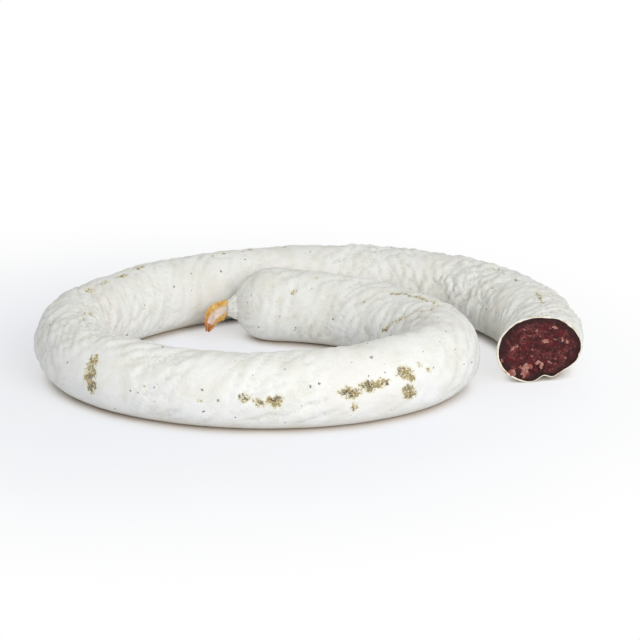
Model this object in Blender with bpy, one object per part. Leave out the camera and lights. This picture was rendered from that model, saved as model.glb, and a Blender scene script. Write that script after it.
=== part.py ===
"""A long air-dried sausage lying coiled flat: one end tied and tucked inside the coil,
the other end cut across. Metres, +Z up, resting on the plane Z = 0."""
import math

import bmesh
import bpy
import numpy as np

# The middle line, from the tied end to the cut: each bend's length and its turn to the
# right in degrees. A change from one bend to the next is spread over BLEND.
BENDS = (
    (0.143, 74.0),
    (0.046, 67.0),
    (0.097, 47.0),
    (0.095, 38.0),
    (0.089, 78.0),
    (0.103, 36.0),
    (0.111, 40.0),
    (0.079, 47.0),
    (0.085, 42.0),
)
BLEND = 0.060
START_X, START_Y = -0.04226, 0.04598
START_HEADING = 7.0

# Half of the width and half of the height, at shares of the middle line's length.
HALF_WIDTH = (
    (0.00, 0.0221),
    (0.12, 0.0199),
    (0.22, 0.0198),
    (0.38, 0.0202),
    (0.52, 0.0192),
    (0.72, 0.0206),
    (0.90, 0.0235),
    (1.00, 0.0226),
)
HALF_HEIGHT = (
    (0.00, 0.0217),
    (0.12, 0.0197),
    (0.22, 0.0216),
    (0.38, 0.0200),
    (0.52, 0.0212),
    (0.72, 0.0199),
    (0.90, 0.0187),
    (1.00, 0.0194),
)
SINK = 0.0008  # the underside is pressed flat by this much where it lies

# The tied end: rounded off over END_ROUND, then a short pinched neck.
END_ROUND = 0.026
END_POWER = 2.4
END_DROP = 0.0020
NECK_LENGTH = 0.0055
NECK_HALF_WIDTH = 0.0038
NECK_HALF_HEIGHT = 0.0052

# The outer end: cut by an upright plane turned CUT_SKEW from square across.
CUT_SKEW = 22.0
CUT_EASE = 0.060

# A crease along the underside that runs into the cut.
CREASE_DEPTH = 0.0034
CREASE_OFFSET = 0.0030
CREASE_SPREAD = 0.0036
CREASE_LENGTH = 0.090
LOBE_LIFT = 0.0034  # the lobe outside the crease stands off the surface
LOBE_WIDTH = 0.010

# The dried casing beyond the neck: a flattened piece that curls down to a point.
GAP = 0.0003
TAIL_REACH = 0.0128
TAIL_DROP = 0.0115
TAIL_FORWARD = 0.0040
TAIL_HALF_WIDTH = ((0.0, 0.0055), (0.35, 0.0064), (0.65, 0.0050), (0.85, 0.0037), (1.0, 0.0019))
TAIL_EDGE = ((0.0, 0.0026), (0.35, 0.0016), (1.0, 0.0009))
TAIL_WEB = ((0.0, 0.0024), (0.35, 0.0008), (1.0, 0.0006))

SIDES = 30
STEPS = 134
BEND_DENSITY = 0.040
NECK_STEPS = 4
ROUND_STEPS = 11
TAIL_SIDES = 16
TAIL_STEPS = 12


def table(rows, at):
    """The value at a place in a table of (place, value) rows."""
    places, values = zip(*rows)
    return np.interp(at, places, values)


def heading(distance):
    """The way the middle line points, in radians, with the changes of bend blended."""
    lengths = np.array([b[0] for b in BENDS])
    turns = -np.radians([b[1] for b in BENDS])
    ends = np.concatenate(([0.0], np.cumsum(lengths)))
    turned = np.concatenate(([0.0], np.cumsum(turns)))
    total = ends[-1]
    near = np.asarray(distance)[:, None] + np.linspace(-BLEND / 2, BLEND / 2, 25)[None]
    angle = np.interp(near, ends, turned)
    angle += np.minimum(near, 0.0) * turns[0] / lengths[0]
    angle += np.maximum(near - total, 0.0) * turns[-1] / lengths[-1]
    return math.radians(START_HEADING) + angle.mean(axis=1)


def route(distances):
    """Places and headings of the middle line at distances from the tied end."""
    total = sum(b[0] for b in BENDS)
    fine = np.linspace(-0.020, total, 4001)
    way = heading(fine)
    step = fine[1] - fine[0]
    along = []
    for part in (np.cos(way), np.sin(way)):
        run = np.concatenate(([0.0], np.cumsum((part[1:] + part[:-1]) / 2) * step))
        along.append(run - np.interp(0.0, fine, run))
    x = START_X + np.interp(distances, fine, along[0])
    y = START_Y + np.interp(distances, fine, along[1])
    return x, y, np.interp(distances, fine, way)


def stations():
    """Distances along the middle line, closer together where it bends tightly."""
    total = sum(b[0] for b in BENDS)
    neck = np.linspace(-NECK_LENGTH, 0.0, NECK_STEPS, endpoint=False)
    turn = np.linspace(0.0, math.pi / 2, ROUND_STEPS, endpoint=False)
    rounded = END_ROUND * (1.0 - np.cos(turn))
    fine = np.linspace(END_ROUND, total, 2001)
    bend = np.abs(np.gradient(heading(fine), fine))
    effort = np.concatenate(([0.0], np.cumsum(1.0 + BEND_DENSITY * (bend[1:] + bend[:-1]) / 2)))
    body = np.interp(np.linspace(0.0, effort[-1], STEPS + 1), effort, fine)
    return np.concatenate((neck, rounded, body))


def half_sizes(distance):
    """Half the width and half the height of the section at a distance."""
    total = sum(b[0] for b in BENDS)
    wide = float(table(HALF_WIDTH, distance / total))
    tall = float(table(HALF_HEIGHT, distance / total))
    left = min(1.0, max(0.0, 1.0 - distance / END_ROUND))
    body = math.sqrt(max(0.0, 1.0 - left**END_POWER))
    wide_here = math.hypot(wide * body, NECK_HALF_WIDTH * left)
    tall_here = math.hypot(tall * body, NECK_HALF_HEIGHT * left)
    return wide_here, tall_here, tall


def section(distance, x, y, way):
    """One ring of points round the sausage."""
    total = sum(b[0] for b in BENDS)
    wide, tall, full = half_sizes(distance)
    middle = full - SINK - END_DROP * max(0.0, 1.0 - distance / END_ROUND) ** 2
    eased = min(1.0, max(0.0, 1.0 - (total - distance) / CUT_EASE))
    skew = math.tan(math.radians(CUT_SKEW) * eased * eased * (3.0 - 2.0 * eased))
    fade = min(1.0, max(0.0, 1.0 - (total - distance) / CREASE_LENGTH)) ** 1.5
    points = []
    for i in range(SIDES):
        angle = 2.0 * math.pi * i / SIDES - math.pi / 2
        side = wide * math.cos(angle)
        z = max(0.0, middle + tall * math.sin(angle))
        if math.sin(angle) < 0.0:
            near = (side - CREASE_OFFSET) / CREASE_SPREAD
            z += fade * CREASE_DEPTH * math.exp(-near * near)
            lobe = min(1.0, max(0.0, (side - CREASE_OFFSET) / LOBE_WIDTH))
            z -= fade * LOBE_LIFT * math.sin(angle) * lobe * lobe * (3.0 - 2.0 * lobe)
        back = -side * skew
        points.append((
            x - math.sin(way) * side + math.cos(way) * back,
            y + math.cos(way) * side + math.sin(way) * back,
            z,
        ))
    return points


def loft(name, rings, colour, roughness, collection):
    """A closed solid skinned over rings of points, its two ends filled."""
    bm = bmesh.new()
    loops = []
    for ring in rings:
        verts = [bm.verts.new(p) for p in ring]
        loops.append([bm.edges.new((verts[i - 1], verts[i])) for i in range(len(verts))])
    for one, two in zip(loops, loops[1:]):
        bmesh.ops.bridge_loops(bm, edges=one + two)
    caps = []
    for loop in (loops[0], loops[-1]):
        made = bmesh.ops.edgeloop_fill(bm, edges=loop)
        caps.extend(made["faces"])
    bmesh.ops.poke(bm, faces=caps)
    bmesh.ops.recalc_face_normals(bm, faces=bm.faces)
    mesh = bpy.data.meshes.new(name)
    bm.to_mesh(mesh)
    bm.free()
    made = bpy.data.objects.new(name, mesh)
    collection.objects.link(made)
    material = bpy.data.materials.new(name)
    material.use_nodes = True
    shader = material.node_tree.nodes["Principled BSDF"]
    shader.inputs["Base Color"].default_value = colour
    shader.inputs["Roughness"].default_value = roughness
    material.diffuse_color = colour
    mesh.materials.append(material)
    return made


def sausage(collection):
    """The whole sausage, neck to cut."""
    places = stations()
    rings = [section(*row) for row in zip(places, *route(places))]
    return loft("sausage", rings, (0.83, 0.82, 0.78, 1.0), 0.85, collection)


def casing_tail(collection):
    """The dried casing end, hung from the neck with a hair's gap."""
    x, y, way = (float(v[0]) for v in route(np.array([-NECK_LENGTH - GAP])))
    out = (-math.cos(way), -math.sin(way))
    forward = (math.sin(way), -math.cos(way))
    top = half_sizes(0.0)[2] - SINK - END_DROP * (1.0 + NECK_LENGTH / END_ROUND) ** 2
    rings = []
    for k in range(TAIL_STEPS + 1):
        t = k / TAIL_STEPS
        reach = TAIL_REACH * (2.0 * t * (1.0 - t) * 0.62 + t * t)
        drop = TAIL_DROP * t * t
        slope_out = TAIL_REACH * (0.62 * (1.0 - 2.0 * t) + t)
        slope_down = TAIL_DROP * t
        tilt = math.atan2(slope_down, slope_out)
        wide = float(table(TAIL_HALF_WIDTH, t))
        edge = float(table(TAIL_EDGE, t))
        web = float(table(TAIL_WEB, t))
        ring = []
        for i in range(TAIL_SIDES):
            angle = 2.0 * math.pi * (i + 0.5) / TAIL_SIDES
            across = wide * math.cos(angle)
            share = abs(math.cos(angle))
            deep = math.sin(angle) * (web + (edge - web) * share)
            deep += TAIL_FORWARD * t * t
            away = reach + across * math.sin(tilt)
            ring.append((
                x + out[0] * away + forward[0] * deep,
                y + out[1] * away + forward[1] * deep,
                top - drop + across * math.cos(tilt),
            ))
        rings.append(ring)
    return loft("casing_tail", rings, (0.55, 0.30, 0.06, 1.0), 0.35, collection)


def main():
    """Clears the scene and builds both pieces."""
    for old in list(bpy.data.objects):
        bpy.data.objects.remove(old, do_unlink=True)
    collection = bpy.data.collections.new("cured_sausage")
    bpy.context.scene.collection.children.link(collection)
    sausage(collection)
    casing_tail(collection)


main()
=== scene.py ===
"""The looks of a long air-dried sausage lying coiled flat: its mould-covered casing, the
coarse meat at the cut, and the dried end of the casing, on a plain pale floor."""

import math
import random

import bmesh
import bpy
import numpy as np
from bpy.props import FloatProperty, FloatVectorProperty, IntProperty, PointerProperty
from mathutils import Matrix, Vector, noise


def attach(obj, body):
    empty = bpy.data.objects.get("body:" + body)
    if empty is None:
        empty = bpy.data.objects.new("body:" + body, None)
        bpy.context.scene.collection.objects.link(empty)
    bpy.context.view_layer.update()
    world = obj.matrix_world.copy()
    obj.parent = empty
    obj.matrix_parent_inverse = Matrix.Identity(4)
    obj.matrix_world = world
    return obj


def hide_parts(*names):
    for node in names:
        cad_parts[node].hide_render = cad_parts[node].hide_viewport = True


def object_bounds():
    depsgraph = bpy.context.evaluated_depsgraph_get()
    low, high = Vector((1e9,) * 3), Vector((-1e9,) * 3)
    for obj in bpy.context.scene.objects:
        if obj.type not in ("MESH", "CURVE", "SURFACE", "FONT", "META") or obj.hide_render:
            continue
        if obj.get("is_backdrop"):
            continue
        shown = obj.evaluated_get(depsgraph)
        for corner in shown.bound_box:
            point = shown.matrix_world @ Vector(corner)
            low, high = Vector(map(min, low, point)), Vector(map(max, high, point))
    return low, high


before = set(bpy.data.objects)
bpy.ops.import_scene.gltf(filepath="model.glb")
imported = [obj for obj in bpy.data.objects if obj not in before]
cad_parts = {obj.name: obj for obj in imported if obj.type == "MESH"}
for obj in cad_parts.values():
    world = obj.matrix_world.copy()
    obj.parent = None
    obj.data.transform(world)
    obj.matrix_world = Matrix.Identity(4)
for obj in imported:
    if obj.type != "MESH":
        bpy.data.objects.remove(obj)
CAD_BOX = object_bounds()

bl_info = {
    "name": "Cured Sausage",
    "version": (1, 0, 0),
    "blender": (4, 5, 0),
    "location": "3D View > Sidebar > Sausage",
    "description": "Builds a mould-coated cured sausage coiled flat, cut at one end",
    "category": "Add Mesh",
}

# ---------------------------------------------------------------------------
# The sausage's own shape, as the CAD solid has it
# ---------------------------------------------------------------------------

# The middle line, from the tied end to the cut: each bend's length and its turn to the
# right in degrees. A change from one bend to the next is spread over BLEND.
BENDS = (
    (0.143, 74.0),
    (0.046, 67.0),
    (0.097, 47.0),
    (0.095, 38.0),
    (0.089, 78.0),
    (0.103, 36.0),
    (0.111, 40.0),
    (0.079, 47.0),
    (0.085, 42.0),
)
BLEND = 0.060
START_X, START_Y = -0.04226, 0.04598
START_HEADING = 7.0
LENGTH = sum(bend[0] for bend in BENDS)

# Half of the width and half of the height, at shares of the middle line's length.
HALF_WIDTH = (
    (0.00, 0.0221),
    (0.12, 0.0199),
    (0.22, 0.0198),
    (0.38, 0.0202),
    (0.52, 0.0192),
    (0.72, 0.0206),
    (0.90, 0.0235),
    (1.00, 0.0226),
)
HALF_HEIGHT = (
    (0.00, 0.0217),
    (0.12, 0.0197),
    (0.22, 0.0216),
    (0.38, 0.0200),
    (0.52, 0.0212),
    (0.72, 0.0199),
    (0.90, 0.0187),
    (1.00, 0.0194),
)
SINK = 0.0008  # how far the flat underside cuts into the round
END_ROUND = 0.026  # length over which the tied end closes in
END_POWER = 2.4
END_DROP = 0.0020  # how far the middle sinks towards the neck
NECK_LENGTH = 0.0055
NECK_HALF_WIDTH = 0.0038
NECK_HALF_HEIGHT = 0.0052
CUT_SKEW = 22.0  # degrees from square across
CUT_EASE = 0.060
CREASE_DEPTH = 0.0034  # the crease along the underside that runs into the cut
CREASE_OFFSET = 0.0030
CREASE_SPREAD = 0.0036
CREASE_LENGTH = 0.090
LOBE_LIFT = 0.0034  # the lobe outside the crease stands off the surface
LOBE_WIDTH = 0.010
NECK_FLARE = 0.0030  # how far the neck widens into the body
AROUND = 132  # points round the casing, and round the meat inside it
GIRTH = 0.0205  # the mean radius, which turns an angle into a distance round

# Where the mould has come away and the casing shows, as strokes of scattered spots. Each
# runs from one place to another, given as the distance from the tied end in millimetres
# and the angle round (0 is the coil's outer side, 90 the top). Then come the number of
# spots, half of a spot's length and width and the stroke's spread in millimetres, how bare
# and how dark.
BARE_STROKES = (
    ((215, -20), (220, 25), 7, 3.0, 3.0, 2.0, 0.95, 0.60),
    ((230, 20), (250, 5), 7, 3.5, 2.5, 2.0, 0.95, 0.80),
    ((245, -20), (245, -15), 1, 2.0, 3.0, 1.0, 0.85, 0.30),
    ((280, 10), (285, 0), 3, 3.0, 2.5, 1.5, 0.95, 0.80),
    ((290, 0), (300, 10), 3, 2.5, 2.0, 2.0, 0.75, 0.35),
    ((375, -20), (375, 35), 7, 2.5, 3.5, 2.5, 0.90, 0.50),
    ((205, 15), (210, 30), 2, 1.5, 1.5, 1.0, 0.75, 0.50),
    ((310, 0), (350, 10), 3, 1.0, 1.0, 3.0, 0.60, 0.60),
    ((100, 100), (135, 90), 7, 5.0, 1.8, 1.0, 0.62, 0.20),
    ((110, 175), (145, 105), 9, 4.0, 1.5, 0.6, 0.54, 0.05),
    ((405, 95), (440, 130), 3, 5.0, 1.5, 1.5, 0.55, 0.10),
    ((455, 100), (530, 90), 4, 6.0, 2.5, 2.0, 0.62, 0.15),
    ((565, 95), (620, 85), 6, 2.0, 1.2, 1.0, 0.65, 0.45),
    ((740, 90), (800, 85), 4, 3.5, 1.3, 2.5, 0.52, 0.20),
    ((805, 90), (820, 85), 3, 4.0, 1.5, 1.0, 0.70, 0.20),
    ((845, 150), (845, 80), 4, 1.2, 4.0, 0.3, 0.65, 0.10),
    ((5, 150), (5, 210), 3, 1.2, 0.8, 0.3, 0.55, 0.25),
    ((25, 165), (55, 95), 3, 1.8, 1.2, 1.5, 0.65, 0.45),
)
SPOT_SEED = 5


def srgb(red, green, blue):
    """A colour given as display values from 0 to 255, as linear values with alpha."""
    values = []
    for value in (red, green, blue):
        value /= 255.0
        low = value <= 0.04045
        values.append(value / 12.92 if low else ((value + 0.055) / 1.055) ** 2.4)
    return (*values, 1.0)


def table(rows, at):
    """The value at places in a table of (place, value) rows."""
    places, values = zip(*rows)
    return np.interp(at, places, values)


def smooth(value):
    """Eases a value from 0 to 1, level at both ends."""
    value = np.clip(value, 0.0, 1.0)
    return value * value * (3.0 - 2.0 * value)


def heading(distance):
    """The way the middle line points, in radians, with the changes of bend blended."""
    lengths = np.array([bend[0] for bend in BENDS])
    turns = -np.radians([bend[1] for bend in BENDS])
    ends = np.concatenate(([0.0], np.cumsum(lengths)))
    turned = np.concatenate(([0.0], np.cumsum(turns)))
    near = np.asarray(distance)[:, None] + np.linspace(-BLEND / 2, BLEND / 2, 25)[None]
    angle = np.interp(near, ends, turned)
    angle += np.minimum(near, 0.0) * turns[0] / lengths[0]
    angle += np.maximum(near - LENGTH, 0.0) * turns[-1] / lengths[-1]
    return math.radians(START_HEADING) + angle.mean(axis=1)


def middle_line():
    """Fine samples of the middle line: distance, x, y and heading."""
    fine = np.linspace(-0.020, LENGTH, 4001)
    way = heading(fine)
    step = fine[1] - fine[0]
    places = []
    for part in (np.cos(way), np.sin(way)):
        run = np.concatenate(([0.0], np.cumsum((part[1:] + part[:-1]) / 2) * step))
        places.append(run - np.interp(0.0, fine, run))
    return fine, START_X + places[0], START_Y + places[1], way


MIDDLE_LINE = middle_line()


def route(distance):
    """Places and headings of the middle line at distances from the tied end."""
    fine, x, y, way = MIDDLE_LINE
    return (np.interp(distance, fine, each) for each in (x, y, way))


def lay(distance, angle, lift, floor=0.0):
    """Places on the sausage's surface, lifted outwards, none lower than the floor."""
    x, y, way = route(distance)
    wide = table(HALF_WIDTH, distance / LENGTH)
    tall = table(HALF_HEIGHT, distance / LENGTH)
    past = np.maximum(0.0, 1.0 - distance / END_ROUND)
    left = np.minimum(past, 1.0)
    body = np.sqrt(1.0 - left**END_POWER)
    middle = tall - SINK - END_DROP * past**2
    flare = NECK_FLARE * smooth(1.0 + distance / NECK_LENGTH) * left
    wide = np.hypot(wide * body, (NECK_HALF_WIDTH - 0.0006) * left + flare)
    tall = np.hypot(tall * body, (NECK_HALF_HEIGHT - 0.0008) * left + flare)
    out_side = np.cos(angle) / wide
    out_up = np.sin(angle) / tall
    out = np.hypot(out_side, out_up)
    side = wide * np.cos(angle) + lift * out_side / out
    z = np.maximum(floor, middle + tall * np.sin(angle) + lift * out_up / out)
    fade = np.clip(1.0 - (LENGTH - distance) / CREASE_LENGTH, 0.0, 1.0) ** 1.5
    near = (side - CREASE_OFFSET) / CREASE_SPREAD
    low = np.maximum(0.0, -np.sin(angle))
    lobe = LOBE_LIFT * low * smooth((side - CREASE_OFFSET) / LOBE_WIDTH)
    z += np.where(low > 0.0, fade * (CREASE_DEPTH * np.exp(-near * near) + lobe), 0.0)
    eased = smooth(1.0 - (LENGTH - distance) / CUT_EASE)
    back = -side * np.tan(math.radians(CUT_SKEW) * eased)
    return np.stack((
        x - np.sin(way) * side + np.cos(way) * back,
        y + np.cos(way) * side + np.sin(way) * back,
        z,
    ), axis=1)


def cut_frame():
    """The middle of the cut, and its directions: across, up and out of the meat."""
    x, y, way = (float(v[0]) for v in route(np.array([LENGTH])))
    turn = way + math.radians(CUT_SKEW)
    across = Vector((-math.sin(turn), math.cos(turn), 0.0))
    out = Vector((math.cos(turn), math.sin(turn), 0.0))
    return Vector((x, y, HALF_HEIGHT[-1][1] - SINK)), across, Vector((0, 0, 1)), out


def wave(points, size, seed=0.0):
    """Smooth noise at places, its lumps about size across."""
    return np.array([noise.noise(p) for p in (points / size + seed).tolist()])


# Noise drawn out into creases: turn from the length in degrees, size across and along, seed.
LONG_CREASES = (-38, 0.0085, 0.030, 2.0)
STEEP_CREASES = (-66, 0.0062, 0.022, 9.0)
BEND_FOLDS = (-80, 0.0072, 0.030, 4.0)
FINE_FOLDS = (96, 0.0030, 0.014, 14.0)
CRINKLES = (58, 0.0050, 0.017, 6.0)
PLEATS = 11  # pleats round the neck
PLEAT_LENGTH = 0.012
PLEAT_DEPTH = 0.00045
CRINKLED_FROM, CRINKLED_OVER = 0.62, 0.08  # the crinkled top before the cut
LEFT_BEND_AT, LEFT_BEND_OVER = 0.415, 0.07  # and round the bend opposite
BARE_SINK = 0.00028  # the casing lies lower where its mould has gone
WALL_DROP, WALL_EASE = 0.0024, 0.006  # how far the inside keeps under the creases


def streaks(distance, angle, turn, across, along, seed):
    """Noise drawn out on the surface into streaks that lie turned from the length."""
    turn = math.radians(turn)
    way = distance * math.cos(turn) + angle * GIRTH * math.sin(turn)
    off = angle * GIRTH * math.cos(turn) - distance * math.sin(turn)
    return wave(np.stack((way / along, off / across, np.full(len(way), seed)), axis=1), 1.0)


def furrows(value, width):
    """Thin lines from 0 to 1 where noise passes through nought."""
    return np.clip(1.0 - np.abs(value) / width, 0.0, 1.0)


def bare_spots():
    """The spots of every stroke: place, half sizes, turn, how bare and how dark."""
    chance = random.Random(SPOT_SEED)
    for start, end, count, half_long, half_wide, spread, bare, dark in BARE_STROKES:
        run = (end[0] - start[0], math.radians(end[1] - start[1]) * GIRTH * 1000.0)
        turn = math.atan2(run[1], run[0]) if half_long > half_wide else 0.0
        for number in range(count):
            share = (number + 0.5 + chance.uniform(-0.3, 0.3)) / count
            size = chance.uniform(0.7, 1.2)
            yield (
                start[0] + (end[0] - start[0]) * share + chance.uniform(-spread, spread),
                math.radians(start[1] + (end[1] - start[1]) * share)
                + chance.uniform(-spread, spread) / (GIRTH * 1000.0),
                half_long * size, half_wide * size, turn,
                bare * chance.uniform(0.85, 1.0), dark * chance.uniform(0.5, 1.0),
            )


def marks(distance, angle, ragged):
    """How bare and how dark the spots make the surface at places."""
    bare = np.zeros(len(distance))
    dark = np.zeros(len(distance))
    for at, round_at, half_long, half_wide, turn, strength, depth in bare_spots():
        along = distance * 1000.0 - at
        across = (angle - round_at + math.pi) % (2.0 * math.pi) - math.pi
        across *= GIRTH * 1000.0
        far = np.hypot(
            (along * math.cos(turn) + across * math.sin(turn)) / half_long,
            (across * math.cos(turn) - along * math.sin(turn)) / half_wide,
        )
        reach = np.clip(1.45 - far + 0.22 * ragged, 0.0, 1.0)
        bare = np.maximum(bare, strength * smooth(reach))
        core = np.clip(1.05 - 1.25 * far + 0.30 * ragged, 0.0, 1.0)
        dark = np.maximum(dark, depth * smooth(core))
    return bare, dark


def relief(distance, angle, sizes):
    """Lift of the casing at places, and what its colour follows: painted crease shade, bare, dark.
    """
    points = lay(distance, angle, 0.0)
    fine, _, _, way = MIDDLE_LINE
    bend = np.interp(distance, fine, np.abs(np.gradient(way, fine)))
    inner = smooth(0.15 - 1.25 * np.cos(angle))
    under = smooth(2.6 + 3.0 * np.sin(angle))
    broad = 0.00070 * wave(points, 0.034, 3.1) + 0.00042 * wave(points, 0.014, 7.7)
    patch = smooth(0.45 + 1.8 * wave(points, 0.050, 1.3))
    long_noise = streaks(distance, angle, *LONG_CREASES)
    long_lines = furrows(long_noise, 0.11) * patch
    steep_noise = streaks(distance, angle, *STEEP_CREASES)
    steep = furrows(steep_noise, 0.12) * smooth(0.4 + 2.0 * wave(points, 0.040, 5.9))
    tight = np.clip((bend - 4.0) / 16.0, 0.12, 1.0)
    fold_noise = streaks(distance, angle, *BEND_FOLDS)
    fine_folds = streaks(distance, angle, *FINE_FOLDS)
    folds = furrows(fold_noise, 0.26) * inner * tight
    folds += 0.5 * furrows(fine_folds, 0.18) * inner * tight
    swell = np.abs(fold_noise) * inner * tight
    near_cut = smooth((distance - CRINKLED_FROM) / CRINKLED_OVER)
    left_bend = 0.8 * smooth(1.0 - abs(distance - LEFT_BEND_AT) / LEFT_BEND_OVER)
    top = smooth(1.4 * np.sin(angle) + 0.1) * np.maximum(near_cut, left_bend)
    crinkle_noise = streaks(distance, angle, *CRINKLES)
    crinkles = furrows(crinkle_noise, 0.20) * top
    crinkles *= smooth(0.75 + 1.6 * wave(points, 0.022, 8.8))
    pleats = 0.5 + 0.5 * np.cos(PLEATS * angle + 400.0 * distance)
    pleats *= smooth(1.0 - distance / PLEAT_LENGTH)
    ragged = wave(points, 0.0026, 2.2) + 0.7 * wave(points, 0.0012, 4.4)
    bare, dark = marks(distance, angle, ragged)
    grain = 0.00020 * wave(points, 0.0048, 6.6) + 0.00011 * wave(points, 0.0020, 1.9)
    depth = sizes.fold_depth
    lift = grain - depth * (0.80 * long_lines + 0.75 * steep + 0.75 * folds + 0.75 * crinkles)
    lift += depth * (2.0 * swell + 1.3 * np.abs(crinkle_noise) * top)
    lift += depth * (1.2 * np.abs(long_noise) * patch + 0.8 * np.abs(steep_noise) - 0.15)
    lift += bare * (0.00045 * ragged - BARE_SINK) - 0.0004 * dark
    lift = lift * under + broad * (0.25 + 0.75 * under) - PLEAT_DEPTH * pleats
    # Painted shade: how far the creases, folds, crinkles and pleats darken the mould's colour, kept
    # off the underside.
    crease_shade = 0.5 * long_lines + 0.5 * steep + 0.6 * folds + 0.8 * crinkles + 0.35 * pleats
    crease_shade = np.clip(crease_shade, 0.0, 1.0) * under
    lift *= smooth((LENGTH - distance) / 0.003) * 0.7 + 0.3
    return lift, broad, crease_shade, bare, dark


def inner_lift(distance, angle, lift, broad, sizes):
    """Lift of the casing's inner side: its wall has a thickness at the cut, uneven, thickest low on
    the inner side, and the meat keeps well under the creases further in."""
    circle = np.stack((np.cos(angle), np.sin(angle), np.zeros(len(angle))), axis=1)
    uneven = wave(circle, 0.30, 4.0) + 0.6 * wave(circle, 0.10, 8.0)
    thick = smooth(1.4 * np.cos(angle - math.radians(200.0)) - 0.2)
    wall = sizes.casing_wall * np.clip(0.70 + 0.7 * uneven + 0.9 * thick, 0.2, 2.2)
    further_in = WALL_DROP * smooth((LENGTH - distance) / WALL_EASE)
    return np.minimum(lift, 0.5 * broad) - wall - further_in


# ---------------------------------------------------------------------------
# Mesh helpers
# ---------------------------------------------------------------------------


def add_tube(bm, places, around, shape, values=()):
    """Wraps a grid into a tube along places: shape gives each point's place, and values
    are (layer, numbers) filled from what shape returns beside the places."""
    made = bmesh.ops.create_grid(
        bm, x_segments=len(places) - 1, y_segments=around, size=0.5, calc_uvs=True
    )["verts"]
    flat = np.array([v.co[:2] for v in made]) + 0.5
    rows = np.rint(flat[:, 0] * (len(places) - 1)).astype(int)
    turns = np.rint(flat[:, 1] * around) / around
    found = shape(np.asarray(places)[rows], 2.0 * math.pi * turns - math.pi / 2)
    for vert, place in zip(made, found[0].tolist()):
        vert.co = place
    for layer, numbers in zip(values, found[1:]):
        for vert, number in zip(made, numbers.tolist()):
            vert[layer] = number
    seam = [v for v, turn in zip(made, turns) if turn in (0.0, 1.0)]
    rim = [v for v, row in zip(made, rows) if row == len(places) - 1]
    bmesh.ops.remove_doubles(bm, verts=seam, dist=1e-7)
    return [v for v in made if v.is_valid], [v for v in rim if v.is_valid]


def open_loops(bm, verts):
    """The open edges among verts, parted into one list for each end of a tube."""
    chosen = set(verts)
    left = {e for e in bm.edges if e.is_boundary and set(e.verts) <= chosen}
    loops = []
    while left:
        loop = [left.pop()]
        ends = set(loop[0].verts)
        grown = True
        while grown:
            near = {e for v in ends for e in v.link_edges if e in left}
            grown = bool(near)
            left -= near
            loop.extend(near)
            ends = {v for e in near for v in e.verts}
        loops.append(loop)
    return loops


def finish_piece(name, bm, materials, node):
    """Makes a bmesh a smooth object that rides on the frame in place of a CAD node."""
    bmesh.ops.recalc_face_normals(bm, faces=bm.faces)
    mesh = bpy.data.meshes.new(name)
    bm.to_mesh(mesh)
    bm.free()
    mesh.shade_smooth()
    piece = bpy.data.objects.new(name, mesh)
    bpy.context.scene.collection.objects.link(piece)
    for material in materials:
        mesh.materials.append(material)
    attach(piece, "root")
    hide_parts(node)
    return piece


# ---------------------------------------------------------------------------
# Shader helpers
# ---------------------------------------------------------------------------


def add_node(tree, kind, sockets=(), **settings):
    """Adds a shader node, sets its settings, and fills or links its input sockets."""
    node = tree.nodes.new(kind)
    for key, value in settings.items():
        setattr(node, key, value)
    for key, value in dict(sockets).items():
        if isinstance(value, bpy.types.NodeSocket):
            tree.links.new(value, node.inputs[key])
        else:
            node.inputs[key].default_value = value
    return node


def blend_colour(tree, factor, first, second, mode="MIX"):
    """A colour between two others, by a factor."""
    sockets = {"Factor": factor, 6: first, 7: second}
    made = add_node(tree, "ShaderNodeMix", sockets, data_type="RGBA", blend_type=mode)
    return made.outputs[2]


def combine(tree, operation, first, second=0.0, clamp=False):
    """A value worked out from one or two others."""
    sockets = {0: first, 1: second}
    made = add_node(tree, "ShaderNodeMath", sockets, operation=operation, use_clamp=clamp)
    return made.outputs[0]


def between(tree, value, low, high):
    """A smooth step of a value from low to high."""
    sockets = {"Value": value, "From Min": low, "From Max": high}
    made = add_node(tree, "ShaderNodeMapRange", sockets, interpolation_type="SMOOTHSTEP")
    return made.outputs["Result"]


def attribute(tree, name):
    """A value kept on the mesh."""
    made = add_node(tree, "ShaderNodeAttribute", attribute_name=name)
    return made.outputs["Fac"]


def place_on_object(tree):
    """Object coordinates, in metres."""
    return add_node(tree, "ShaderNodeTexCoord").outputs["Object"]


def group_tree(name, inputs, outputs):
    """A new shader node group with named inputs and outputs."""
    tree = bpy.data.node_groups.new(name, "ShaderNodeTree")
    for label, kind, default in inputs:
        socket = tree.interface.new_socket(label, in_out="INPUT", socket_type=kind)
        if default is not None:
            socket.default_value = default
    for label, kind in outputs:
        tree.interface.new_socket(label, in_out="OUTPUT", socket_type=kind)
    given = tree.nodes.new("NodeGroupInput")
    wanted = tree.nodes.new("NodeGroupOutput")
    return tree, given.outputs, wanted.inputs


def mottle_group():
    """Soft irregular patches: noise stepped between two levels."""
    tree, given, wanted = group_tree(
        "Mottle",
        [
            ("Place", "NodeSocketVector", None),
            ("Patches per metre", "NodeSocketFloat", 200.0),
            ("Detail", "NodeSocketFloat", 4.0),
            ("Low", "NodeSocketFloat", 0.4),
            ("High", "NodeSocketFloat", 0.6),
        ],
        [("Mask", "NodeSocketFloat"), ("Raw", "NodeSocketFloat")],
    )
    grain = add_node(tree, "ShaderNodeTexNoise", {
        "Vector": given["Place"],
        "Scale": given["Patches per metre"],
        "Detail": given["Detail"],
        "Roughness": 0.6,
    })
    mask = between(tree, grain.outputs[0], given["Low"], given["High"])
    tree.links.new(mask, wanted["Mask"])
    tree.links.new(grain.outputs[0], wanted["Raw"])
    return tree


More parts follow.
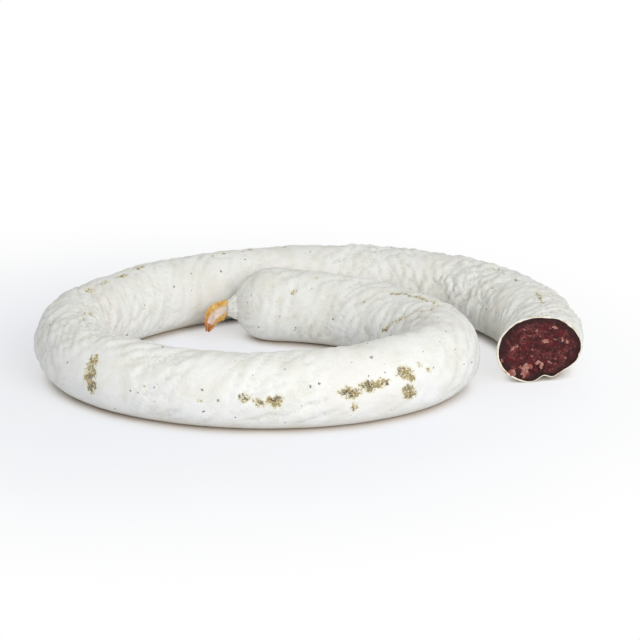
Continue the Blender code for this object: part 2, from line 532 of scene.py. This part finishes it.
def specks_group():
    """Small uneven specks, in a share of the cells of a cell pattern."""
    tree, given, wanted = group_tree(
        "Specks",
        [
            ("Place", "NodeSocketVector", None),
            ("Cells per metre", "NodeSocketFloat", 200.0),
            ("Share", "NodeSocketFloat", 0.1),
            ("Reach", "NodeSocketFloat", 0.3),
        ],
        [("Mask", "NodeSocketFloat"), ("Cell", "NodeSocketFloat")],
    )
    wobble = add_node(tree, "ShaderNodeTexNoise", {
        "Vector": given["Place"], "Scale": 900.0, "Detail": 3.0,
    })
    shift = add_node(tree, "ShaderNodeVectorMath", {
        0: wobble.outputs["Color"], 1: (0.5, 0.5, 0.5),
    }, operation="SUBTRACT")
    moved = add_node(tree, "ShaderNodeVectorMath", {
        0: shift.outputs[0], 1: (0.0022, 0.0022, 0.0022), 2: given["Place"],
    }, operation="MULTIPLY_ADD")
    cells = add_node(tree, "ShaderNodeTexVoronoi", {
        "Vector": moved.outputs[0], "Scale": given["Cells per metre"],
    })
    pick = add_node(tree, "ShaderNodeSeparateColor", {0: cells.outputs["Color"]})
    chosen = combine(tree, "LESS_THAN", pick.outputs[0], given["Share"])
    size = combine(tree, "MULTIPLY", pick.outputs[1], given["Reach"])
    size = combine(tree, "ADD", size, combine(tree, "MULTIPLY", given["Reach"], 0.4))
    close = combine(tree, "DIVIDE", cells.outputs["Distance"], size)
    mask = combine(tree, "MULTIPLY", between(tree, close, 1.0, 0.55), chosen)
    tree.links.new(mask, wanted["Mask"])
    tree.links.new(pick.outputs[2], wanted["Cell"])
    return tree


def shared_group(name, maker):
    """A node group by name, made the first time it is asked for."""
    return bpy.data.node_groups.get(name) or maker()


def mottle(tree, place, scale, detail, low, high):
    """Places the mottle group and returns its mask and raw noise."""
    node = tree.nodes.new("ShaderNodeGroup")
    node.node_tree = shared_group("Mottle", mottle_group)
    tree.links.new(place, node.inputs["Place"])
    values = {"Patches per metre": scale, "Detail": detail, "Low": low, "High": high}
    for key, value in values.items():
        node.inputs[key].default_value = value
    return node.outputs["Mask"], node.outputs["Raw"]


def specks(tree, place, scale, share, reach):
    """Places the specks group and returns its mask and cell value."""
    node = tree.nodes.new("ShaderNodeGroup")
    node.node_tree = shared_group("Specks", specks_group)
    tree.links.new(place, node.inputs["Place"])
    for key, value in {"Cells per metre": scale, "Share": share, "Reach": reach}.items():
        node.inputs[key].default_value = value
    return node.outputs["Mask"], node.outputs["Cell"]


def new_material(name, **shader_values):
    """A material with a Principled shader: its tree, shader and object coordinates."""
    material = bpy.data.materials.new(name)
    material.use_nodes = True
    tree = material.node_tree
    shader = tree.nodes["Principled BSDF"]
    for key, value in shader_values.items():
        shader.inputs[key.replace("_", " ")].default_value = value
    return material, tree, shader, place_on_object(tree)


def set_bump(tree, shader, height, distance, strength=1.0):
    """Sends a height to the shader's normal."""
    bump = add_node(tree, "ShaderNodeBump", {
        "Height": height, "Distance": distance, "Strength": strength,
    })
    tree.links.new(bump.outputs[0], shader.inputs["Normal"])


def mould_material(colours):
    """White mould over the casing, thin in places, gone where the casing shows, with painted shade
    down in its creases.
    """
    material, tree, shader, place = new_material("white_mould", Roughness=0.92)
    shader.inputs["Specular IOR Level"].default_value = 0.2
    soft, _ = mottle(tree, place, 60.0, 5.0, 0.42, 0.66)
    colour = blend_colour(tree, soft, colours.mould, colours.mould_cream)
    cloud, _ = mottle(tree, place, 260.0, 5.0, 0.54, 0.74)
    colour = blend_colour(tree, combine(tree, "MULTIPLY", cloud, 0.28), colour,
                          colours.mould_grey)
    thin, _ = mottle(tree, place, 24.0, 4.0, 0.52, 0.70)
    colour = blend_colour(tree, combine(tree, "MULTIPLY", thin, 0.40), colour,
                          colours.mould_thin)
    _, fine = mottle(tree, place, 700.0, 3.0, 0.4, 0.6)
    # Painted shade down in the creases, broken up by fine noise.
    painted_crease_shade = combine(tree, "MULTIPLY", attribute(tree, "crease_shade"), between(tree, fine, 0.40, 0.66))
    colour = blend_colour(tree, combine(tree, "MULTIPLY", painted_crease_shade, 0.75), colour, colours.crease_shade)
    small, _ = specks(tree, place, 230.0, 0.26, 0.14)
    colour = blend_colour(tree, small, colour, colours.speck)
    large, _ = specks(tree, place, 62.0, 0.09, 0.080)
    colour = blend_colour(tree, combine(tree, "MULTIPLY", large, 0.75), colour, colours.speck)
    _, ragged = mottle(tree, place, 620.0, 6.0, 0.4, 0.6)
    ragged = combine(tree, "MULTIPLY", combine(tree, "SUBTRACT", ragged, 0.5), 3.0)
    ragged = combine(tree, "MULTIPLY", ragged, between(tree, attribute(tree, "bare"), 0.0, 0.3))
    edge = combine(tree, "SUBTRACT", attribute(tree, "bare"), ragged)
    stain = combine(tree, "MULTIPLY", between(tree, edge, 0.05, 0.50), 0.75)
    colour = blend_colour(tree, stain, colour, colours.stain)
    crumbs, crumb_noise = mottle(tree, place, 780.0, 2.0, 0.53, 0.60)
    bare = between(tree, edge, 0.50, 0.72)
    skin, _ = mottle(tree, place, 300.0, 4.0, 0.44, 0.58)
    skin_colour = blend_colour(tree, skin, colours.bare, colours.bare_olive)
    grey, _ = mottle(tree, place, 210.0, 4.0, 0.52, 0.60)
    skin_colour = blend_colour(tree, grey, skin_colour, colours.bare_grey)
    colour = blend_colour(tree, bare, colour, skin_colour)
    crumbs = combine(tree, "MULTIPLY", combine(tree, "MULTIPLY", crumbs, bare), 0.85)
    colour = blend_colour(tree, crumbs, colour, colours.stain)
    _, dark_grain = mottle(tree, place, 720.0, 5.0, 0.4, 0.6)
    deep = combine(tree, "SUBTRACT", attribute(tree, "dark"), combine(
        tree, "MULTIPLY", combine(tree, "SUBTRACT", dark_grain, 0.5), 2.4))
    deep = combine(tree, "MULTIPLY", between(tree, deep, 0.42, 0.66), bare)
    colour = blend_colour(tree, deep, colour, colours.bare_dark)
    tree.links.new(colour, shader.inputs["Base Color"])
    rough = combine(tree, "SUBTRACT", 0.94, combine(tree, "MULTIPLY", bare, 0.34))
    tree.links.new(rough, shader.inputs["Roughness"])
    powder = add_node(tree, "ShaderNodeTexNoise", {
        "Vector": place, "Scale": 1500.0, "Detail": 5.0, "Roughness": 0.65,
    })
    height = combine(tree, "ADD", powder.outputs[0], combine(tree, "MULTIPLY", fine, 0.9))
    height = combine(tree, "SUBTRACT", height, combine(tree, "MULTIPLY", bare, 0.6))
    height = combine(tree, "ADD", height, combine(tree, "MULTIPLY", crumb_noise, 0.8))
    set_bump(tree, shader, height, 0.00035, 0.75)
    return material


def casing_edge_material(colours):
    """The cut edge of the casing: cream to tan, dry."""
    material, tree, shader, place = new_material("casing_edge", Roughness=0.7)
    tan, _ = mottle(tree, place, 160.0, 3.0, 0.52, 0.66)
    colour = blend_colour(tree, tan, colours.casing_cream, colours.casing_tan)
    tree.links.new(colour, shader.inputs["Base Color"])
    grain = add_node(tree, "ShaderNodeTexNoise", {"Vector": place, "Scale": 1400.0})
    set_bump(tree, shader, grain.outputs[0], 0.0002)
    return material


def meat_material(colours):
    """Coarse cured meat: dark at the rim, redder inside, with grains of lean and fat."""
    material, tree, shader, place = new_material("cured_meat", Roughness=0.42)
    shader.inputs["Specular IOR Level"].default_value = 0.22
    wobble = add_node(tree, "ShaderNodeTexNoise", {
        "Vector": place, "Scale": 420.0, "Detail": 3.0,
    })
    shift = add_node(tree, "ShaderNodeVectorMath", {
        0: wobble.outputs["Color"], 1: (0.0020, 0.0020, 0.0020), 2: place,
    }, operation="MULTIPLY_ADD")
    grains = add_node(tree, "ShaderNodeTexVoronoi", {
        "Vector": shift.outputs[0], "Scale": 430.0, "Randomness": 1.0,
    })
    pick = add_node(tree, "ShaderNodeSeparateColor", {0: grains.outputs["Color"]})
    lean = blend_colour(tree, pick.outputs[0], colours.meat_dark, colours.meat_red)
    pale, _ = mottle(tree, place, 230.0, 5.0, 0.47, 0.66)
    lean = blend_colour(tree, combine(tree, "MULTIPLY", pale, 0.50), lean, colours.meat_pale)
    _, fibre = mottle(tree, place, 1100.0, 5.0, 0.4, 0.6)
    lean = blend_colour(tree, between(tree, fibre, 0.56, 0.36), lean, colours.meat_edge)
    crumbs, bright = specks(tree, shift.outputs[0], 620.0, 0.30, 0.40)
    crumbs = combine(tree, "MULTIPLY", crumbs, between(tree, bright, 0.1, 1.1))
    lean = blend_colour(tree, crumbs, lean, colours.meat_pale)
    flecks, _ = specks(tree, shift.outputs[0], 460.0, 0.10, 0.40)
    colour = blend_colour(tree, combine(tree, "MULTIPLY", flecks, 0.60), lean, colours.fat)
    lumps, _ = specks(tree, shift.outputs[0], 190.0, 0.07, 0.34)
    colour = blend_colour(tree, combine(tree, "MULTIPLY", lumps, 0.55), colour, colours.fat)
    _, uneven = mottle(tree, place, 210.0, 3.0, 0.4, 0.6)
    rim = combine(tree, "ADD", attribute(tree, "rim"), combine(
        tree, "MULTIPLY", combine(tree, "SUBTRACT", uneven, 0.5), 0.42))
    dried = combine(tree, "MULTIPLY", between(tree, rim, 0.76, 0.94), 0.94)
    colour = blend_colour(tree, dried, colour, colours.meat_edge)
    tree.links.new(colour, shader.inputs["Base Color"])
    rough = combine(tree, "ADD", 0.34, combine(tree, "MULTIPLY", fibre, 0.34))
    tree.links.new(rough, shader.inputs["Roughness"])
    height = combine(tree, "MULTIPLY", grains.outputs["Distance"], -0.9)
    height = combine(tree, "ADD", height, fibre)
    set_bump(tree, shader, height, 0.0006, 0.9)
    return material


def fat_material(colours):
    """Lumps of fat and gristle, smeared a little with red."""
    material, tree, shader, place = new_material("fat", Roughness=0.42)
    shader.inputs["Specular IOR Level"].default_value = 0.25
    red, _ = mottle(tree, place, 420.0, 5.0, 0.44, 0.58)
    colour = blend_colour(tree, red, colours.fat, colours.meat_pale)
    deep, _ = mottle(tree, place, 900.0, 4.0, 0.55, 0.66)
    colour = blend_colour(tree, deep, colour, colours.meat_red)
    tree.links.new(colour, shader.inputs["Base Color"])
    grain = add_node(tree, "ShaderNodeTexNoise", {"Vector": place, "Scale": 1600.0})
    set_bump(tree, shader, grain.outputs[0], 0.0002)
    return material


def dried_casing_material(colours):
    """Dried casing: amber where it is folded thick, pale and thin between the folds."""
    material, tree, shader, place = new_material("dried_casing", Roughness=0.34)
    shader.inputs["Coat Weight"].default_value = 0.25
    thick = attribute(tree, "thick")
    tip = attribute(tree, "tip")
    streak, _ = mottle(tree, place, 600.0, 4.0, 0.42, 0.62)
    amber = blend_colour(tree, between(tree, tip, 0.35, 0.95), colours.amber, colours.amber_deep)
    amber = blend_colour(tree, combine(tree, "MULTIPLY", streak, 0.60), amber,
                         colours.amber_light)
    film = blend_colour(tree, combine(tree, "MULTIPLY", streak, 0.35), colours.film,
                        colours.amber_light)
    colour = blend_colour(tree, between(tree, thick, 0.01, 0.15), film, amber)
    tree.links.new(colour, shader.inputs["Base Color"])
    grain = add_node(tree, "ShaderNodeTexNoise", {
        "Vector": place, "Scale": 900.0, "Detail": 4.0,
    })
    set_bump(tree, shader, grain.outputs[0], 0.0004)
    return material


def floor_material(colours):
    """A pale floor that turns to plain white away from the sausage. Seen directly it glows, at half
    strength near the sausage, which paints light over its shade there; a warm painted shade tints
    it where it is hemmed in, and its glow is cut into a painted contact shadow right under the
    sausage.
    """
    material, tree, shader, place = new_material("pale_floor", Roughness=0.9)
    shader.inputs["Specular IOR Level"].default_value = 0.1
    soft, _ = mottle(tree, place, 5.0, 2.0, 0.35, 0.65)
    colour = blend_colour(tree, soft, colours.floor, colours.floor_cool)
    # Painted shade: the floor turns warm and darker where occlusion shows it hemmed in by the
    # sausage.
    beside = add_node(tree, "ShaderNodeAmbientOcclusion", {"Distance": 0.030}, samples=8)
    painted_floor_shade = between(tree, beside.outputs["AO"], 0.60, 0.10)
    colour = blend_colour(tree, painted_floor_shade, colour, colours.floor_painted_shade)
    tree.links.new(colour, shader.inputs["Base Color"])
    away = add_node(tree, "ShaderNodeVectorMath", {0: place, 1: (-0.07, -0.02, 0.0)},
                    operation="DISTANCE")
    # Seen directly the floor glows white away from the sausage and at half strength near it, which
    # paints light over the floor's shade there.
    white = between(tree, away.outputs["Value"], 0.08, 0.33)
    white = combine(tree, "ADD", combine(tree, "MULTIPLY", white, 0.50), 0.50)
    # Painted contact shadow: the floor's glow is cut away where occlusion shows the sausage close
    # above it.
    contact_shadow_occlusion = add_node(tree, "ShaderNodeAmbientOcclusion", {"Distance": 0.010}, samples=8)
    white = combine(tree, "MULTIPLY", white, between(tree, contact_shadow_occlusion.outputs["AO"], 0.10, 0.60))
    rays = add_node(tree, "ShaderNodeLightPath").outputs
    seen = combine(tree, "ADD", rays["Is Camera Ray"], rays["Is Glossy Ray"], clamp=True)
    seen = combine(tree, "ADD", seen, rays["Is Transmission Ray"], clamp=True)
    glow = add_node(tree, "ShaderNodeEmission", {"Color": (1, 1, 1, 1), "Strength": 1.0})
    mix = add_node(tree, "ShaderNodeMixShader", {
        0: combine(tree, "MULTIPLY", white, seen),
        1: shader.outputs[0],
        2: glow.outputs[0],
    })
    tree.links.new(mix.outputs[0], tree.nodes["Material Output"].inputs["Surface"])
    return material


# ---------------------------------------------------------------------------
# What a user would change
# ---------------------------------------------------------------------------


def length_property(name, description, default):
    """A size in metres."""
    return FloatProperty(
        name=name, description=description, default=default, min=0.0,
        subtype="DISTANCE", unit="LENGTH", precision=5,
    )


def colour_property(name, description, *display_values):
    """A colour, given as display values from 0 to 255."""
    return FloatVectorProperty(
        name=name, description=description, default=srgb(*display_values),
        size=4, min=0.0, max=1.0, subtype="COLOR",
    )


class SausageSizes(bpy.types.PropertyGroup):
    """Sizes of the casing, the cut and the dried end."""

    casing_wall: length_property("Casing", "Thickness of mould and casing at the cut", 0.0006)
    fold_depth: length_property("Folds", "Depth of the creases and wrinkles", 0.00110)
    face_relief: length_property("Grain", "Roughness of the cut meat", 0.00070)
    hollow_depth: length_property("Hollow", "Depth of the hollow over the crease", 0.0030)
    tail_reach: length_property("Tail reach", "How far the dried end stands out", 0.0128)
    tail_drop: length_property("Tail drop", "How far the dried end hangs down", 0.0115)
    rows: IntProperty(name="Rows", description="Rows of the casing", default=540, min=60)


class SausageColours(bpy.types.PropertyGroup):
    """Colours of the mould, casing, meat and floor."""

    mould: colour_property("Mould", "Thick white mould", 243, 242, 237)
    mould_cream: colour_property("Cream", "Creamy mould", 236, 234, 224)
    mould_grey: colour_property("Grey", "Grey-green mould", 218, 219, 208)
    mould_thin: colour_property("Thin", "Thin mould over casing", 236, 229, 218)
    # Painted shade: the colour laid into the creases, folds and pleats to darken them.
    crease_shade: colour_property("Furrow", "Down in the creases", 196, 196, 180)
    speck: colour_property("Speck", "Small dark specks", 118, 118, 104)
    stain: colour_property("Stain", "Stained mould round a bare spot", 226, 218, 184)
    bare: colour_property("Bare", "Bare casing", 182, 158, 110)
    bare_olive: colour_property("Olive", "Greenish bare casing", 146, 138, 98)
    bare_grey: colour_property("Grey casing", "Greyish bare casing", 134, 124, 110)
    bare_dark: colour_property("Dark", "Darkest bare spots", 84, 66, 50)
    casing_cream: colour_property("Edge", "Cut edge of the casing", 244, 234, 214)
    casing_tan: colour_property("Tan edge", "Darker cut edge", 212, 176, 124)
    meat_red: colour_property("Lean", "Redder lean", 102, 27, 31)
    meat_dark: colour_property("Dark lean", "Darker lean", 56, 17, 20)
    meat_pale: colour_property("Pale", "Paler meat", 150, 82, 76)
    meat_edge: colour_property("Rim", "Dried rim of the meat", 44, 15, 15)
    fat: colour_property("Fat", "Fat", 178, 130, 116)
    amber: colour_property("Amber", "Dried casing", 206, 152, 44)
    amber_deep: colour_property("Deep amber", "Tip of the dried casing", 176, 88, 22)
    amber_light: colour_property("Light amber", "Thin folds", 226, 196, 128)
    film: colour_property("Film", "Thin dried film", 222, 204, 198)
    floor: colour_property("Floor", "Floor", 243, 245, 250)
    # Painted shade: a warm, darker tint on the floor where it is hemmed in close to the sausage.
    floor_painted_shade: colour_property("Warm floor", "Floor close to the sausage", 218, 208, 196)
    floor_cool: colour_property("Cool floor", "Cooler floor", 238, 241, 250)


# ---------------------------------------------------------------------------
# Pieces
# ---------------------------------------------------------------------------


def casing_rows(count):
    """Distances of the casing's rows: close together at the neck and the round end."""
    neck = np.linspace(-NECK_LENGTH, 0.0, 6, endpoint=False)
    nose = END_ROUND * (1.0 - np.cos(np.linspace(0.0, math.pi / 2, 24, endpoint=False)))
    return np.concatenate((neck, nose, np.linspace(END_ROUND, LENGTH, count)))


def inner_rows(first):
    """Distances of the rows inside the casing, closer together at both ends."""
    last = LENGTH - np.array([0.006, 0.004, 0.002, 0.001, 0.0])
    middle = np.linspace(END_ROUND, LENGTH - 0.010, 90)
    return np.concatenate(([first, 0.009, 0.015], middle, last))


class SAUSAGE_OT_casing(bpy.types.Operator):
    """The casing under its mould, open at the cut, its wall modelled with a thickness"""

    bl_idname = "sausage.casing"
    bl_label = "Moulded Casing"

    def execute(self, context):
        sizes = context.scene.sausage_sizes
        bm = bmesh.new()
        bm.loops.layers.uv.new("length_and_girth")
        names = ("crease_shade", "bare", "dark", "inside")
        layers = [bm.verts.layers.float.new(name) for name in names]

        def wall(place, angle):
            inside = place > LENGTH
            distance = np.where(inside, 2.0 * LENGTH - place, place)
            lift, broad, crease_shade, bare, dark = relief(distance, angle, sizes)
            under = inner_lift(distance, angle, lift, broad, sizes)
            floor = np.where(inside, sizes.casing_wall * 0.9, 0.0)
            places = lay(distance, angle, np.where(inside, under, lift), floor)
            return places, crease_shade, bare, dark, inside.astype(float)

        # The rows run over the outside to the cut, then back along the inside.
        back = 2.0 * LENGTH + 1e-6 - inner_rows(0.004)[::-1]
        rows = np.concatenate((casing_rows(sizes.rows), back))
        made, _ = add_tube(bm, rows, AROUND, wall, layers)
        for loop in open_loops(bm, made):
            bmesh.ops.edgeloop_fill(bm, edges=loop)
        for face in bm.faces:
            face.material_index = int(max(vert[layers[3]] for vert in face.verts))
        bm.verts.layers.float.remove(layers[3])
        colours = context.scene.sausage_colours
        finish_piece("moulded_casing", bm,
                     [mould_material(colours), casing_edge_material(colours)],
                     "sausage")
        return {"FINISHED"}


def face_relief(points, sizes):
    """How far the cut meat stands out at places, its coarse grains and pits."""
    cells = np.array([noise.voronoi(p)[0][0] for p in (points / 0.0030).tolist()])
    lift = 0.8 * (0.45 - cells) + 0.9 * wave(points, 0.0040, 2.0)
    lift += 0.5 * wave(points, 0.0015, 5.0)
    return sizes.face_relief * lift


class SAUSAGE_OT_meat(bpy.types.Operator):
    """The meat, which fills the casing from end to end and shows coarse at the cut"""

    bl_idname = "sausage.meat"
    bl_label = "Cured Meat"

    def execute(self, context):
        sizes = context.scene.sausage_sizes
        bm = bmesh.new()
        layer = bm.verts.layers.float.new("rim")
        middle, across, up, out = cut_frame()
        out_row = np.array(out)

        def side(distance, angle):
            lift, broad = relief(distance, angle, sizes)[:2]
            lift = inner_lift(distance, angle, lift, broad, sizes) - 0.00006
            places = lay(distance, angle, lift, floor=sizes.casing_wall)
            return places, np.ones(len(places))

        def face(share, angle):
            rim = side(np.full(len(share), LENGTH), angle)[0]
            centre = np.array(middle + up * 0.0004)
            places = centre + (rim - centre) * share[:, None]
            lift = face_relief(places, sizes) * smooth((1.0 - share) / 0.06)
            low = (places - np.array(middle)) @ np.array(up) / 0.0118 + 1.0
            off = ((places - np.array(middle)) @ np.array(across) + 0.0005) / 0.0042
            lift -= sizes.hollow_depth * np.exp(-(off**2 + (low / 0.28) ** 2))
            lift -= 0.00035 * smooth((share - 0.86) / 0.12)
            return places + out_row * lift[:, None], share

        rows = inner_rows(0.005)
        core, core_rim = add_tube(bm, rows, AROUND, side, [layer])
        core_loops = open_loops(bm, core)
        shares = np.concatenate((np.linspace(0.004, 0.97, 44), [0.99, 1.0]))
        disc, disc_rim = add_tube(bm, shares, AROUND, face, [layer])
        disc_loops = open_loops(bm, disc)
        for loop in core_loops + disc_loops:
            if loop[0].verts[0] not in set(core_rim) | set(disc_rim):
                made = bmesh.ops.edgeloop_fill(bm, edges=loop)["faces"]
                bmesh.ops.poke(bm, faces=made)
        bmesh.ops.remove_doubles(bm, verts=core_rim + disc_rim, dist=1e-6)
        finish_piece("cured_meat", bm, [meat_material(context.scene.sausage_colours)],
                     "sausage")
        return {"FINISHED"}


# Lumps of fat on the cut: across and up from its middle, then half sizes across and up,
# in millimetres, and the turn in degrees.
FAT_LUMPS = (
    (-14.6, -11.6, 2.2, 2.8, 20),
    (-8.0, -12.6, 2.0, 3.0, -25),
    (-8.6, -9.0, 2.6, 2.0, 10),
    (-5.0, -9.4, 1.8, 1.6, 0),
    (-0.6, -7.4, 1.8, 1.3, 15),
    (1.6, -9.2, 1.2, 1.9, 0),
    (-14.9, 1.6, 1.1, 1.4, -20),
    (3.9, 5.0, 2.2, 1.5, 10),
    (13.2, 4.6, 1.1, 1.7, 0),
    (15.6, 3.6, 1.5, 1.1, 30),
    (15.0, -5.2, 1.1, 1.0, 0),
    (5.8, -7.0, 1.0, 0.8, 0),
    (19.9, 1.2, 0.7, 0.6, 0),
    (-20.9, -5.2, 0.9, 1.1, 0),
    (8.6, 12.6, 2.0, 0.8, -20),
    (-8.8, 8.0, 1.2, 0.9, 30),
)


class SAUSAGE_OT_fat(bpy.types.Operator):
    """Lumps of fat and gristle that stand a little out of the cut meat"""

    bl_idname = "sausage.fat"
    bl_label = "Fat Lumps"

    def execute(self, context):
        middle, across, up, out = cut_frame()
        bm = bmesh.new()
        for number, (off, high, wide, tall, turn) in enumerate(FAT_LUMPS):
            made = bmesh.ops.create_icosphere(bm, subdivisions=3, radius=1.0)["verts"]
            turn = math.radians(turn)
            for vert in made:
                rough = 0.9 + 0.75 * noise.noise(vert.co * 1.5 + Vector((number * 3.7, 0, 0)))
                x = vert.co.x * wide * rough / 1000.0
                z = vert.co.z * tall * rough / 1000.0
                side = off / 1000.0 + x * math.cos(turn) - z * math.sin(turn)
                rise = high / 1000.0 + x * math.sin(turn) + z * math.cos(turn)
                stand = vert.co.y * 0.0006 * rough - 0.0002
                vert.co = middle + across * side + up * rise + out * stand
        finish_piece("fat_lumps", bm, [fat_material(context.scene.sausage_colours)],
                     "sausage")
        return {"FINISHED"}


TAIL_HALF_WIDTH = ((0.0, 0.0050), (0.35, 0.0062), (0.65, 0.0050), (0.85, 0.0034), (1.0, 0.0010))
TAIL_FOLD = ((0.0, 0.0016), (0.35, 0.0012), (0.8, 0.0012), (1.0, 0.0008))
TAIL_FILM = ((0.0, 0.0010), (0.25, 0.0003), (0.75, 0.00025), (1.0, 0.0007))
TAIL_FORWARD = 0.0040


class SAUSAGE_OT_tail(bpy.types.Operator):
    """The dried end of the casing past the neck: two amber folds with film between"""

    bl_idname = "sausage.tail"
    bl_label = "Dried Casing End"

    def execute(self, context):
        sizes = context.scene.sausage_sizes
        start = np.array([-NECK_LENGTH + 0.0006])
        x, y, way = (float(v[0]) for v in route(start))
        top = HALF_HEIGHT[0][1] - SINK - END_DROP * (1.0 + NECK_LENGTH / END_ROUND) ** 2

        def shape(t, angle):
            lean = 0.62
            reach = sizes.tail_reach * (2.0 * t * (1.0 - t) * lean + t * t) + 0.0003
            drop = sizes.tail_drop * t * t
            tilt = np.arctan2(sizes.tail_drop * t,
                              sizes.tail_reach * (lean * (1.0 - 2.0 * t) + t))
            side = np.cos(angle)
            wide = table(TAIL_HALF_WIDTH, t)
            fold = table(TAIL_FOLD, t)
            film = table(TAIL_FILM, t)
            thick = np.clip(np.abs(side) ** 3 * 1.35, 0.0, 1.0)
            pulled = np.where(side > 0, 1.0, 0.92) + 0.10 * np.sin(9.0 * t + 2.0 * side)
            across = wide * side * pulled
            deep = np.sin(angle) * (film + (fold - film) * thick)
            rough = np.stack((t * 3.0, side * 2.2, np.sin(angle)), axis=1)
            wrinkle = wave(rough, 0.42, 3.3)
            deep += TAIL_FORWARD * t * t + 0.0011 * np.sin(3.2 * side + 5.0 * t) * (0.4 + t)
            deep += 0.0005 * wrinkle
            across += 0.0005 * wrinkle
            away = reach + across * np.sin(tilt)
            places = np.stack((
                x - math.cos(way) * away + math.sin(way) * deep,
                y - math.sin(way) * away - math.cos(way) * deep,
                top - drop + across * np.cos(tilt),
            ), axis=1)
            return places, np.maximum(thick, smooth((t - 0.80) / 0.15)), t

        bm = bmesh.new()
        layers = [bm.verts.layers.float.new(name) for name in ("thick", "tip")]
        made, _ = add_tube(bm, np.linspace(0.0, 1.0, 61), 56, shape, layers)
        for loop in open_loops(bm, made):
            bmesh.ops.edgeloop_fill(bm, edges=loop)
        finish_piece("dried_casing_end", bm,
                     [dried_casing_material(context.scene.sausage_colours)],
                     "casing_tail")
        return {"FINISHED"}


# ---------------------------------------------------------------------------
# Stage
# ---------------------------------------------------------------------------

CAMERA_DISTANCE = 1.820
CAMERA_RISE = math.radians(18.0)
CAMERA_AIM = Vector((0.0058, 0.0796, 0.0))
LENS = 173.8
SENSOR = 36.0


def add_lamp(name, place, aim, size, power, colour=(1.0, 1.0, 1.0)):
    """A square soft lamp turned towards a point."""
    lamp = bpy.data.lights.new(name, "AREA")
    lamp.size = size
    lamp.energy = power
    lamp.color = colour
    holder = bpy.data.objects.new(name, lamp)
    holder.location = place
    holder.rotation_euler = (Vector(aim) - Vector(place)).to_track_quat("-Z", "Y").to_euler()
    bpy.context.scene.collection.objects.link(holder)


class SAUSAGE_OT_stage(bpy.types.Operator):
    """A pale floor, soft studio light and the camera"""

    bl_idname = "sausage.stage"
    bl_label = "Stage"

    def execute(self, context):
        scene = context.scene
        bm = bmesh.new()
        bmesh.ops.create_grid(bm, x_segments=8, y_segments=8, size=3.0)
        mesh = bpy.data.meshes.new("floor")
        bm.to_mesh(mesh)
        bm.free()
        mesh.materials.append(floor_material(scene.sausage_colours))
        ground = bpy.data.objects.new("floor", mesh)
        scene.collection.objects.link(ground)
        ground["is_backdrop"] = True

        world = bpy.data.worlds.new("studio")
        world.use_nodes = True
        scene.world = world
        tree = world.node_tree
        soft = tree.nodes["Background"]
        soft.inputs["Color"].default_value = (0.97, 0.985, 1.0, 1.0)
        soft.inputs["Strength"].default_value = 0.61
        white = add_node(tree, "ShaderNodeBackground", {"Color": (1, 1, 1, 1), "Strength": 1.0})
        rays = add_node(tree, "ShaderNodeLightPath").outputs
        seen = combine(tree, "ADD", rays["Is Camera Ray"], rays["Is Glossy Ray"], clamp=True)
        seen = combine(tree, "ADD", seen, rays["Is Transmission Ray"], clamp=True)
        mix = add_node(tree, "ShaderNodeMixShader", {
            0: seen, 1: soft.outputs[0], 2: white.outputs[0],
        })
        tree.links.new(mix.outputs[0], tree.nodes["World Output"].inputs["Surface"])

        add_lamp("key", (0.66, -1.54, 0.90), (0.0, 0.0, 0.0), 1.1, 18.2)

        scene.view_settings.view_transform = "Standard"
        camera = bpy.data.cameras.new("camera")
        camera.lens = LENS
        camera.sensor_width = SENSOR
        holder = bpy.data.objects.new("camera", camera)
        back = Vector((0.0, -math.cos(CAMERA_RISE), math.sin(CAMERA_RISE)))
        holder.location = CAMERA_AIM + back * CAMERA_DISTANCE
        holder.rotation_euler = (-back).to_track_quat("-Z", "Y").to_euler()
        scene.collection.objects.link(holder)
        scene.camera = holder
        return {"FINISHED"}


class SAUSAGE_PT_panel(bpy.types.Panel):
    """Lists the sausage's sizes, colours and pieces"""

    bl_label = "Cured Sausage"
    bl_idname = "SAUSAGE_PT_panel"
    bl_space_type = "VIEW_3D"
    bl_region_type = "UI"
    bl_category = "Sausage"

    def draw(self, context):
        for group in (context.scene.sausage_sizes, context.scene.sausage_colours):
            column = self.layout.column()
            for key in group.__annotations__:
                column.prop(group, key)
        for step in STEPS:
            self.layout.operator(step.bl_idname)


STEPS = (
    SAUSAGE_OT_stage,
    SAUSAGE_OT_casing,
    SAUSAGE_OT_meat,
    SAUSAGE_OT_fat,
    SAUSAGE_OT_tail,
)
CLASSES = (SausageSizes, SausageColours, *STEPS, SAUSAGE_PT_panel)


def register():
    """Registers the classes and the settings on the scene."""
    for each in CLASSES:
        bpy.utils.register_class(each)
    bpy.types.Scene.sausage_sizes = PointerProperty(type=SausageSizes)
    bpy.types.Scene.sausage_colours = PointerProperty(type=SausageColours)


def unregister():
    """Takes the settings and classes away again."""
    del bpy.types.Scene.sausage_colours
    del bpy.types.Scene.sausage_sizes
    for each in reversed(CLASSES):
        bpy.utils.unregister_class(each)


def main():
    """Builds every piece in order."""
    register()
    bpy.ops.sausage.stage()
    bpy.ops.sausage.casing()
    bpy.ops.sausage.meat()
    bpy.ops.sausage.fat()
    bpy.ops.sausage.tail()
    boxes = {"cad": CAD_BOX, "visual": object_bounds()}
    {key: [list(c) for c in box] for key, box in boxes.items()}


if __name__ == "__main__":
    main()
